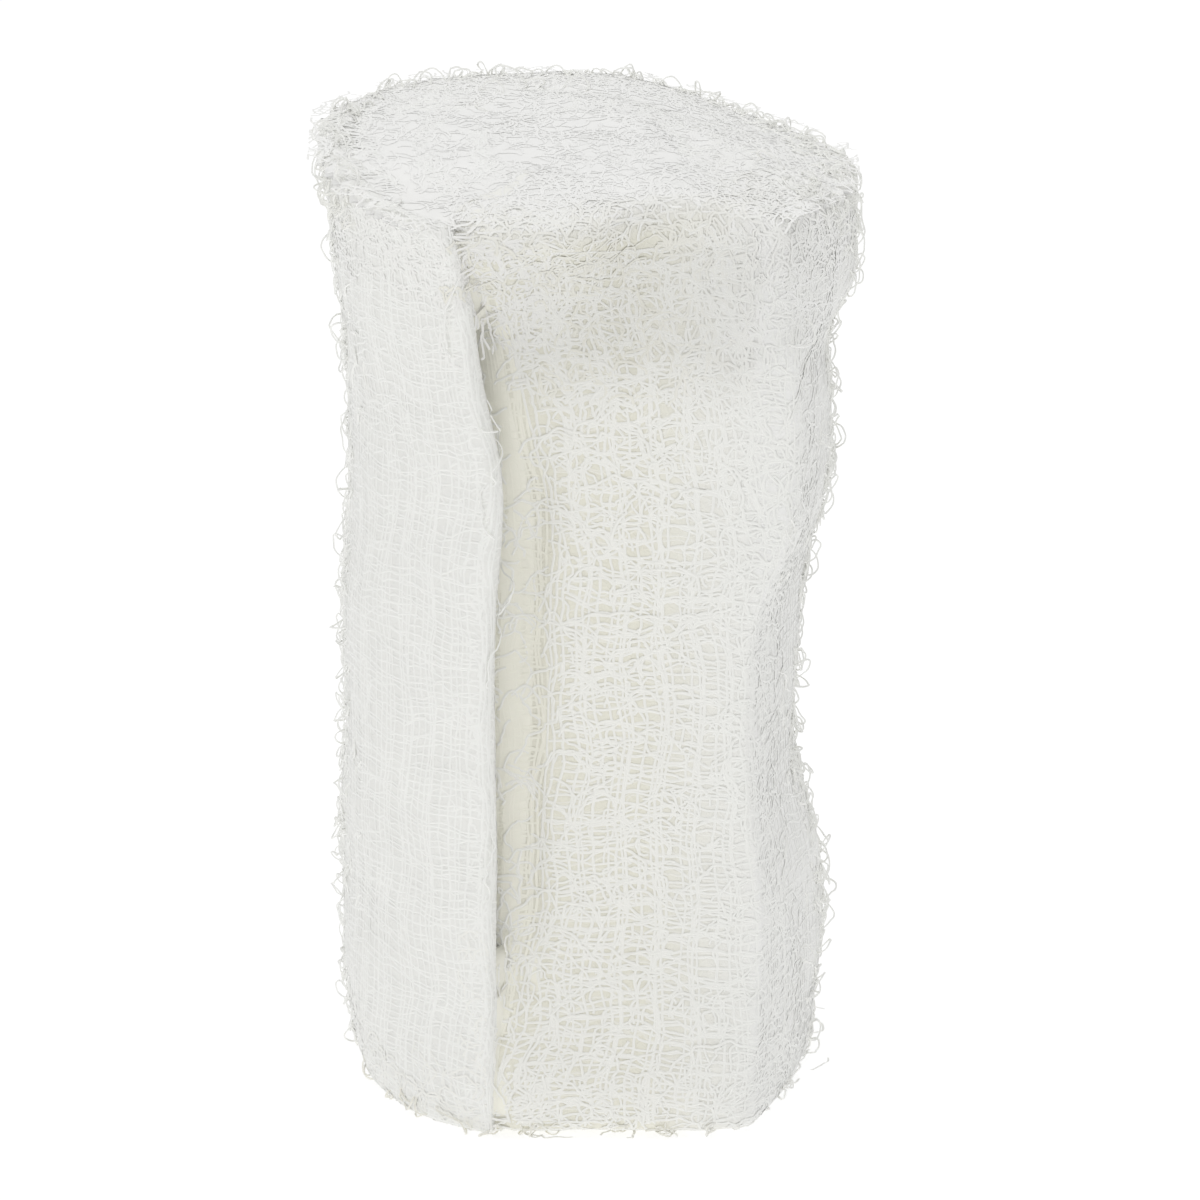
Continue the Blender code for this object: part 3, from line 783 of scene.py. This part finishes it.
# A yarn lies flattened on its cloth, and its section's low corner points outwards.
def finishYarns(tree, curves, spot, facing, bakeMap, given, share, output):
    curves, bakeKept = kept(tree, curves, "bakePlace", bakeMap, "FLOAT_VECTOR")
    curves, facingKept = kept(tree, curves, "facing", facing, "FLOAT_VECTOR")
    swell = sums(tree, "ADD", yarnSet["swellLeast"], sums(tree, "MULTIPLY", share, yarnSet["swellMore"]))
    curves, swellKept = kept(tree, curves, "swell", swell)
    curves, placeKept = kept(tree, curves, "spot", spot, "FLOAT_VECTOR")
    laid = addNode(tree, "GeometryNodeSetPosition", {"Geometry": curves, "Position": placeKept})
    radius = sums(tree, "MULTIPLY", given["thickness"], yarnSet["sectionShare"])
    profile = addNode(tree, "GeometryNodeCurvePrimitiveCircle", {
        "Resolution": yarnSet["sides"], "Radius": radius}, mode="RADIUS")
    pressed = addNode(tree, "GeometryNodeTransform", {
        "Geometry": profile.outputs["Curve"], "Scale": triple(tree, given["flatness"], 1.0, 1.0)})
    turned = addNode(tree, "GeometryNodeSetCurveNormal", {
        "Curve": laid.outputs[0], "Normal": facingKept}, mode="FREE")
    tubes = addNode(tree, "GeometryNodeCurveToMesh", {
        "Curve": turned.outputs[0], "Profile Curve": pressed.outputs[0], "Scale": swellKept,
        "Fill Caps": True})
    layer = addNode(tree, "GeometryNodeStoreNamedAttribute", {
        "Geometry": tubes.outputs["Mesh"], "Name": "OFBake", "Value": bakeKept},
        data_type="FLOAT2", domain="CORNER")
    flat = addNode(tree, "GeometryNodeSetShadeSmooth", (layer.outputs[0],))
    flat.inputs["Shade Smooth"].default_value = False
    whole = addNode(tree, "GeometryNodeRealizeInstances", (flat.outputs[0],))
    dressed = addNode(tree, "GeometryNodeSetMaterial", {
        "Geometry": whole.outputs[0], "Material": given["material"]})
    tree.links.new(dressed.outputs[0], output.inputs[0])


def floats(names):
    return {name: "Float" for name in names.split()}


weaveInputs = dict(upright="Bool", material="Material", **floats(
    "start end first last pitch step jitter crimpAlong crimpAcross crimpLength likeness wander "
    "wanderLength ribPitch clump arch archLift ragged ruffle ruffleFrom ruffleTo lift liftSwing "
    "thickness flatness seed"))
weaveShape = dict(trimSeeds=(4, 9), wanderSeed=7.0, bowBack=0.8)


def weaveTree():
    tree, given, output = emptyTree("wovenYarns", weaveInputs)
    get = given.outputs
    plus, less, times, per = arithmetic(tree)

    def pair(a, b):
        return triple(tree, a, b)

    def steps(low, high, size):
        return sums(tree, "FLOOR", per(less(high, low), size))

    def either(onTrue, onFalse):
        sources = {"Switch": get["upright"], "False": onFalse, "True": onTrue}
        return addNode(tree, "GeometryNodeSwitch", sources, input_type="VECTOR").outputs["Output"]

    lines = addNode(tree, "GeometryNodeMeshLine", {
        "Count": plus(steps(get["first"], get["last"], get["pitch"]), 1.0),
        "Start Location": pair(0.0, get["first"]), "Offset": pair(0.0, get["pitch"])}, mode="OFFSET")
    yarn = addNode(tree, "GeometryNodeCurvePrimitiveLine", {
        "Start": pair(get["start"], 0.0), "End": pair(get["end"], 0.0)}, mode="POINTS")
    evened = addNode(tree, "GeometryNodeResampleCurve", {
        "Curve": yarn.outputs["Curve"], "Count": plus(steps(get["start"], get["end"], get["step"]), 2.0)})
    copies = addNode(tree, "GeometryNodeInstanceOnPoints", {
        "Points": lines.outputs["Mesh"], "Instance": evened.outputs["Curve"]})
    curves = addNode(tree, "GeometryNodeRealizeInstances", (copies.outputs[0],)).outputs[0]
    startSeed, endSeed = weaveShape["trimSeeds"]
    cut = less(less(get["end"], get["start"]), randomNumber(tree, 0.0, get["ragged"], endSeed))
    curves = addNode(tree, "GeometryNodeTrimCurve", {
        "Curve": curves, "Start_001": randomNumber(tree, 0.0, get["ragged"], startSeed), "End_001": cut},
        mode="LENGTH").outputs[0]

    # s runs along a yarn and t across the yarns; number counts them.
    s, t, _ = parts(tree, position(tree))
    number = sums(tree, "ROUND", per(less(t, get["first"]), get["pitch"]))
    diePlace = pair(number, get["seed"])
    dice = addNode(tree, "ShaderNodeTexWhiteNoise", {"Vector": diePlace}, noise_dimensions="2D")
    r1, r2, _ = parts(tree, dice.outputs["Color"])
    rise = addNode(tree, "ShaderNodeMapRange", {
        "Value": parts(tree, either(pair(s, t), pair(t, s)))[0],
        "From Min": get["ruffleFrom"], "From Max": get["ruffleTo"]}, interpolation_type="SMOOTHSTEP")
    more = plus(1.0, times(rise.outputs["Result"], get["ruffle"]))

    crimpPlace = pair(per(s, get["crimpLength"]), times(number, get["likeness"]))
    crimp = swings(tree, crimpPlace, get["seed"], 1.0)
    onCloth = either(pair(t, s), pair(s, t))
    slow = swings(tree, scaled(tree, onCloth, per(1.0, get["wanderLength"])), weaveShape["wanderSeed"], 0.0)
    cells = per(s, get["ribPitch"])
    cellPlace = triple(tree, number, sums(tree, "FLOOR", cells), get["seed"])
    cellDice = addNode(tree, "ShaderNodeTexWhiteNoise", {"Vector": cellPlace}, noise_dimensions="3D")
    bow = sums(tree, "SINE", times(sums(tree, "FRACT", cells), math.pi))
    bowWay = less(times(cellDice.outputs["Value"], 2.0), weaveShape["bowBack"])
    bowed = times(times(bow, get["arch"]), bowWay)
    ribWave = sums(tree, "SINE", times(per(t, get["ribPitch"]), 2.0 * math.pi))
    gathered = times(times(ribWave, get["ribPitch"]), times(get["clump"], -0.5 / math.pi))
    along = plus(s, times(times(crimp[0], get["crimpAlong"]), more))
    across = plus(plus(t, gathered), times(less(r1, 0.5), times(get["jitter"], 2.0)))
    across = plus(across, times(plus(times(crimp[1], get["crimpAcross"]), bowed), more))
    drift = scaled(tree, pair(slow[0], slow[1]), get["wander"])
    uv = vectors(tree, "ADD", either(pair(across, along), pair(along, across)), drift)
    low = either(pair(get["first"], get["start"]), pair(get["start"], get["first"]))
    high = either(pair(get["last"], get["end"]), pair(get["end"], get["last"]))
    uv = vectors(tree, "MINIMUM", vectors(tree, "MAXIMUM", uv, low), high)

    spot = sampleCloth(tree, get["Carrier"], position(tree), uv)
    facing = addNode(tree, "GeometryNodeInputNormal").outputs[0]
    normal = vectors(tree, "NORMALIZE", sampleCloth(tree, get["Carrier"], facing, uv))
    lift = plus(plus(get["lift"], times(bow, get["archLift"])), times(crimp[2], get["liftSwing"]))
    spot = vectors(tree, "ADD", spot, scaled(tree, normal, lift))
    # A plain map kept as OFBake: each point's place on the flat cloth.
    fromLow, room = vectors(tree, "SUBTRACT", uv, low), vectors(tree, "SUBTRACT", high, low)
    bakeMap = vectors(tree, "DIVIDE", fromLow, room)
    finishYarns(tree, curves, spot, normal, bakeMap, get, r2, output)
    return tree


matInputs = dict(points="Int", seed="Int", material="Material", **floats(
    "density length heading spread bend curl curlLength lift liftSwing loopHeight "
    "thickness flatness mapSize"))
matShape = dict(
    bends=(-1.0, -0.55, 0.2, 0.75), pickSeed=8.0, sizeSeed=3.0, ownSeed=5.0, sizes=(0.6, 1.4),
    markSpread=60.0, leanSeed=9.0, archLeast=0.3, archMore=0.9, mapTilt=0.7, mapMiddle=(0.5, 0.3),
)


def matTree():
    tree, given, output = emptyTree("looseYarns", matInputs)
    get, shape = given.outputs, matShape
    carrier = get["Carrier"]
    plus, less, times, per = arithmetic(tree)

    def dice(low, high, more):
        return randomNumber(tree, low, high, plus(get["seed"], more))

    scatter = addNode(tree, "GeometryNodeDistributePointsOnFaces", {
        "Mesh": carrier, "Density": get["density"], "Seed": get["seed"]}, distribute_method="RANDOM")
    roundTurn = vectors(tree, "CROSS_PRODUCT", (0.0, 0.0, 1.0), position(tree))
    facing = addNode(
        tree, "FunctionNodeAlignRotationToVector", {"Vector": roundTurn}, axis="X", pivot_axis="AUTO")
    level = addNode(tree, "FunctionNodeAlignRotationToVector", {
        "Rotation": facing.outputs[0], "Vector": scatter.outputs["Normal"]}, axis="Z", pivot_axis="X")
    anyWay = randomNumber(tree, times(get["spread"], -1.0), get["spread"], get["seed"])
    roll = plus(get["heading"], anyWay)
    spin = addNode(tree, "FunctionNodeAxisAngleToRotation", ((0.0, 0.0, 1.0), roll)).outputs[0]
    spun = addNode(tree, "FunctionNodeRotateRotation", (level.outputs[0], spin), rotation_space="LOCAL")

    # Arcs of length 1, bent more or less, either way.
    arcs = addNode(tree, "GeometryNodeJoinGeometry")
    for share in shape["bends"]:
        sweep = times(get["bend"], share)
        radius = sums(tree, "ABSOLUTE", per(1.0, sweep))
        arc = addNode(tree, "GeometryNodeCurveArc", {
            "Resolution": get["points"], "Radius": radius,
            "Start Angle": times(sweep, -0.5), "Sweep Angle": sweep}, mode="RADIUS")
        middle = addNode(tree, "GeometryNodeTransform", {
            "Geometry": arc.outputs["Curve"], "Translation": triple(tree, 0.0, times(radius, -1.0), 0.0),
            "Rotation": (0.0, 0.0, math.radians(90.0))})
        single = addNode(tree, "GeometryNodeGeometryToInstance")
        tree.links.new(middle.outputs[0], single.inputs[0])
        tree.links.new(single.outputs[0], arcs.inputs[0])
    pick = sums(tree, "FLOOR", dice(0.0, len(shape["bends"]) - 0.01, shape["pickSeed"]))
    copies = addNode(tree, "GeometryNodeInstanceOnPoints", {
        "Points": scatter.outputs["Points"], "Instance": arcs.outputs[0], "Pick Instance": True,
        "Instance Index": pick, "Rotation": spun.outputs[0],
        "Scale": times(dice(*shape["sizes"], shape["sizeSeed"]), get["length"])})
    marked = addNode(tree, "GeometryNodeStoreNamedAttribute", {
        "Geometry": copies.outputs[0], "Name": "own", "Value": dice(0.0, 1.0, shape["ownSeed"])},
        data_type="FLOAT", domain="INSTANCE")
    curves = addNode(tree, "GeometryNodeRealizeInstances", (marked.outputs[0],)).outputs[0]

    mark = addNode(tree, "GeometryNodeInputNamedAttribute", ("own",), data_type="FLOAT").outputs[0]
    spot = position(tree)
    curlPlace = scaled(tree, spot, per(1.0, get["curlLength"]))
    curl = swings(tree, curlPlace, times(mark, shape["markSpread"]), 1.0)
    moved = vectors(tree, "ADD", spot, scaled(tree, triple(tree, curl[0], curl[1], curl[2]), get["curl"]))
    nearest = []
    for source in ("GeometryNodeInputPosition", "GeometryNodeInputNormal"):
        nearest.append(addNode(tree, "GeometryNodeSampleNearestSurface", {
            "Mesh": carrier, "Value": addNode(tree, source).outputs[0], "Sample Position": moved},
            data_type="FLOAT_VECTOR").outputs["Value"])
    normal = vectors(tree, "NORMALIZE", nearest[1])
    lean = swings(tree, curlPlace, plus(times(mark, shape["markSpread"]), shape["leanSeed"]), 0.0)
    share = addNode(tree, "GeometryNodeSplineParameter").outputs["Factor"]
    arch = times(sums(tree, "SINE", times(share, math.pi)), get["loopHeight"])
    arch = times(arch, plus(shape["archLeast"], times(sums(tree, "POWER", mark, 2.0), shape["archMore"])))
    rise = plus(plus(get["lift"], arch), times(lean[0], get["liftSwing"]))
    final = vectors(tree, "ADD", nearest[0], scaled(tree, normal, rise))
    final = vectors(tree, "MAXIMUM", final, (-1.0, -1.0, yarnSet["lowest"]))
    # A plain map kept as OFBake: seen from above and the front at once.
    x, y, z = parts(tree, final)
    bakeU = plus(per(x, get["mapSize"]), shape["mapMiddle"][0])
    tilted = plus(y, times(z, shape["mapTilt"]))
    bakeV = plus(per(tilted, times(get["mapSize"], 2.0)), shape["mapMiddle"][1])
    finishYarns(tree, curves, final, normal, triple(tree, bakeU, bakeV, 0.0), get, mark, output)
    return tree


weaving, matting = weaveTree(), matTree()


def layYarns(name, tree, carrier, settings, material):
    helper = linked(name + "Carrier", carriers[carrier].data.copy())
    modifier = helper.modifiers.new(name, "NODES")
    modifier.node_group = tree
    values = dict(settings, material=material)
    for item in tree.interface.items_tree:
        if item.in_out == "INPUT" and item.name in values:
            modifier[item.identifier] = values[item.name]
    bpy.context.view_layer.update()
    data = bpy.data.meshes.new_from_object(helper.evaluated_get(bpy.context.evaluated_depsgraph_get()))
    helper.modifiers.clear()
    bpy.data.objects.remove(helper)
    made = linked(name, data)
    data.name = name
    for layer in ("bakePlace", "facing", "swell", "own", "spot", "cloth"):
        if layer in data.attributes:
            data.attributes.remove(data.attributes[layer])
    finishPiece(made)


# A weave stops short of its carrier's top by the settings' headRoom.
def layWeave(name, carrier, settings, material):
    across, (foot, head) = carriers[carrier]["across"], carriers[carrier]["along"]
    along = (foot, head - settings["headRoom"])
    (start, end), (first, last) = (along, across) if settings["upright"] else (across, along)
    layYarns(name, weaving, carrier, dict(settings, start=start, end=end, first=first, last=last), material)


def layMat(name, carrier, settings, material):
    layYarns(name, matting, carrier, settings, material)


panelLevelSet = dict(
    upright=False, headRoom=17 * mm, pitch=0.7 * mm, step=0.42 * mm, jitter=0.35 * mm, crimpAlong=0.5 * mm,
    crimpAcross=0.3 * mm, crimpLength=1.7 * mm, likeness=0.8, wander=0.9 * mm, wanderLength=11 * mm,
    ribPitch=4.2 * mm, clump=0.0, arch=0.8 * mm, archLift=0.02 * mm, ragged=3 * mm,
    ruffle=1.6, ruffleFrom=55 * mm, ruffleTo=85 * mm,
    lift=0.04 * mm, liftSwing=0.012 * mm, thickness=0.33 * mm, flatness=0.16, seed=3.0,
)
panelUprightSet = dict(
    panelLevelSet, upright=True, pitch=0.95 * mm, step=0.75 * mm, jitter=0.3 * mm, crimpAlong=0.2 * mm,
    crimpAcross=0.22 * mm, crimpLength=2.4 * mm, clump=0.85, arch=0.0, archLift=0.0, ruffle=1.2,
    lift=0.05 * mm, ragged=6 * mm, seed=11.0,
)
panelInnerSet = dict(panelLevelSet, pitch=1.05 * mm, lift=0.01 * mm, archLift=0.0, seed=23.0, step=0.7 * mm)
panelCurlSet = dict(
    density=1.5e5, length=5.5 * mm, points=15, heading=0.0, spread=1.3, bend=3.6,
    curl=0.6 * mm, curlLength=1.8 * mm, lift=0.06 * mm, liftSwing=0.015 * mm, loopHeight=0.04 * mm,
    thickness=0.32 * mm, flatness=0.16, mapSize=0.12, seed=15,
)
hollowCurlSet = dict(panelCurlSet, density=1.9e5, length=5 * mm, bend=4.2, seed=17)
longCurlSet = dict(
    panelCurlSet, density=9e3, length=12 * mm, points=30, bend=1.8, loopHeight=0.06 * mm, seed=16)
layWeave("panelLevelYarns", "panel", panelLevelSet, yarnCotton)
layWeave("panelUprightYarns", "panel", panelUprightSet, yarnCotton)
layWeave("panelInnerYarns", "panel", panelInnerSet, innerYarnCotton)
layMat("panelCurls", "front", panelCurlSet, yarnCotton)
layMat("hollowCurls", "hollow", hollowCurlSet, innerYarnCotton)
layMat("longCurls", "front", longCurlSet, yarnCotton)

grooveLevelSet = dict(
    panelLevelSet, headRoom=14 * mm, pitch=0.8 * mm, step=0.8 * mm, lift=0.03 * mm, liftSwing=0.01 * mm,
    archLift=0.0, arch=0.3 * mm, thickness=0.3 * mm, flatness=0.08, ragged=2 * mm, ruffle=0.0, seed=51.0,
)
grooveUprightSet = dict(
    grooveLevelSet, upright=True, pitch=0.7 * mm, step=1.2 * mm, crimpAcross=0.15 * mm,
    crimpAlong=0.1 * mm, arch=0.0, ragged=20 * mm, seed=53.0,
)
# Painted shade: the groove's yarns take the warm grooveCotton for the shade beside the free edge.
layWeave("grooveLevelYarns", "groove", grooveLevelSet, grooveCotton)
layWeave("grooveUprightYarns", "groove", grooveUprightSet, grooveCotton)

flapLevelSet = dict(
    panelLevelSet, headRoom=0.0, pitch=0.8 * mm, lift=0.02 * mm, liftSwing=0.01 * mm, seed=31.0,
    step=0.9 * mm, ragged=0.0, crimpAcross=0.3 * mm, crimpLength=1.8 * mm, thickness=0.3 * mm,
    flatness=0.2, arch=0.5 * mm, archLift=0.02 * mm, ruffle=0.3,
)
flapUprightSet = dict(
    panelUprightSet, headRoom=0.0, pitch=0.9 * mm, lift=0.03 * mm, liftSwing=0.01 * mm, seed=37.0,
    step=1.2 * mm, ragged=0.0, thickness=0.3 * mm, flatness=0.2, clump=0.5, ruffle=0.3,
)
flapCurlSet = dict(
    panelCurlSet, density=3.2e4, lift=0.02 * mm, liftSwing=0.006 * mm, loopHeight=0.0,
    thickness=0.28 * mm, flatness=0.14, seed=19,
)
layWeave("flapLevelYarns", "flap", flapLevelSet, looseCotton)
layWeave("flapUprightYarns", "flap", flapUprightSet, looseCotton)
layMat("flapCurls", "flap", flapCurlSet, looseCotton)

backLevelSet = dict(flapLevelSet, pitch=1.15 * mm, lift=0.025 * mm, seed=41.0, step=1.0 * mm)
backUprightSet = dict(flapUprightSet, pitch=1.2 * mm, lift=0.035 * mm, seed=43.0, step=1.5 * mm)
layWeave("backLevelYarns", "back", backLevelSet, yarnCotton)
layWeave("backUprightYarns", "back", backUprightSet, yarnCotton)

blanketSet = dict(depth=0.08 * mm, thickness=0.7 * mm, edgeDrop=0.6 * mm, trim=1)
headBlanketSet = dict(blanketSet, depth=0.0)
grooveBlanketSet = dict(blanketSet, depth=-0.03 * mm, thickness=0.4 * mm)
seamBlanketSet = dict(blanketSet, depth=0.02 * mm, trim=0)
fluffBlanket("headBlanket", "head", headBlanketSet, headCotton)
# Painted shade: the foot, collar and groove blankets take the warm grooveCotton for the shade in those
# slots.
fluffBlanket("footBlanket", "footBridge", blanketSet, grooveCotton)
fluffBlanket("collarBlanket", "collarBridge", blanketSet, grooveCotton)
fluffBlanket("grooveBlanket", "groove", grooveBlanketSet, grooveCotton)
fluffBlanket("seamBlanket", "seam", seamBlanketSet, innerCotton)

headMatSet = dict(
    panelCurlSet, density=3.5e5, length=4.4 * mm, points=10, spread=1.4, curl=0.6 * mm, curlLength=1.5 * mm,
    lift=0.045 * mm, liftSwing=0.008 * mm, loopHeight=0.015 * mm, thickness=0.28 * mm,
    flatness=0.08, seed=5,
)
rimMatSet = dict(headMatSet, density=4.4e5, lift=0.05 * mm, loopHeight=0.02 * mm, seed=7)
ridgeMatSet = dict(
    headMatSet, density=2e5, length=5 * mm, lift=0.02 * mm, liftSwing=0.0, loopHeight=0.0, seed=9)
collarMatSet = dict(
    headMatSet, density=3.6e5, length=5 * mm, lift=0.03 * mm, loopHeight=0.02 * mm, flatness=0.12, seed=10)
footBridgeMatSet = dict(collarMatSet, density=1.6e5)
fringeSet = dict(
    headMatSet, density=3.4e5, length=5 * mm, bend=4.5, lift=0.06 * mm, loopHeight=0.1 * mm, seed=13)
footEdgeSet = dict(
    headMatSet, density=2.6e5, length=6 * mm, bend=5.0, lift=0.03 * mm, loopHeight=0.06 * mm, seed=12)
edgeMatSet = dict(headMatSet, density=4e5, lift=0.02 * mm, loopHeight=0.0, seed=8)
footMatSet = dict(
    headMatSet, density=0.9e5, lift=0.15 * mm, liftSwing=0.05 * mm, loopHeight=0.1 * mm, seed=6)
layMat("headMat", "head", headMatSet, headCotton)
layMat("rimMat", "rim", rimMatSet, rimCotton)
layMat("ridgeMat", "ridge", ridgeMatSet, yarnCotton)
layMat("footBridgeMat", "footBridge", footBridgeMatSet, yarnCotton)
layMat("collarBridgeMat", "collarBridge", collarMatSet, headCotton)
layMat("fringeCurls", "fringe", fringeSet, innerYarnCotton)
layMat("footEdgeMat", "footEdge", footEdgeSet, yarnCotton)
layMat("edgeMat", "edge", edgeMatSet, looseCotton)
layMat("footMat", "foot", footMatSet, yarnCotton)

# Loops of yarn stand out from the sides, the rim and the foot, and a few threads hang at the free edge.
backFuzzSet = dict(
    panelCurlSet, density=1e4, length=4.8 * mm, points=16, spread=3.1, bend=5.2, curl=0.22 * mm,
    curlLength=1.3 * mm, lift=0.0, liftSwing=0.12 * mm, loopHeight=1.5 * mm, thickness=0.23 * mm,
    flatness=0.9, seed=61,
)
sideFuzzSet = dict(backFuzzSet, density=7e4, seed=62)
rimFuzzSet = dict(backFuzzSet, density=2.3e5, length=3.8 * mm, points=13, loopHeight=1.4 * mm, seed=63)
footFuzzSet = dict(backFuzzSet, density=1.5e5, length=3.2 * mm, points=12, loopHeight=0.8 * mm, seed=64)
sideFluffSet = dict(
    backFuzzSet, density=1.2e5, length=2.6 * mm, points=9, bend=4.0, liftSwing=0.08 * mm,
    loopHeight=0.5 * mm, seed=65,
)
roundFluffSet = dict(
    sideFluffSet, density=3.5e4, length=3.4 * mm, loopHeight=0.2 * mm, liftSwing=0.04 * mm, seed=67)
edgeThreadSet = dict(
    backFuzzSet, density=3e4, length=10 * mm, points=24, heading=0.5 * math.pi, spread=0.35, bend=1.3,
    curl=0.6 * mm, curlLength=2.4 * mm, liftSwing=0.2 * mm, loopHeight=1.7 * mm, thickness=0.26 * mm,
    flatness=0.6, seed=66,
)
layMat("backFuzz", "back", backFuzzSet, yarnCotton)
layMat("leftFuzz", "leftSide", sideFuzzSet, looseCotton)
layMat("rightFuzz", "rightSide", sideFuzzSet, yarnCotton)
layMat("leftFluff", "leftSide", sideFluffSet, looseCotton)
layMat("rightFluff", "rightSide", sideFluffSet, yarnCotton)
layMat("leftRoundFluff", "leftRound", roundFluffSet, looseCotton)
layMat("rightRoundFluff", "rightRound", roundFluffSet, yarnCotton)
layMat("edgeThreads", "edge", edgeThreadSet, looseCotton)
layMat("rimFuzz", "rimTop", rimFuzzSet, yarnCotton)
layMat("footFuzz", "footRing", footFuzzSet, innerYarnCotton)

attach(rolledCloth, "root")
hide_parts("wound_roll")
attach(looseEnd, "root")
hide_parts("loose_end")
for item in carriers.values():
    bpy.data.objects.remove(item)
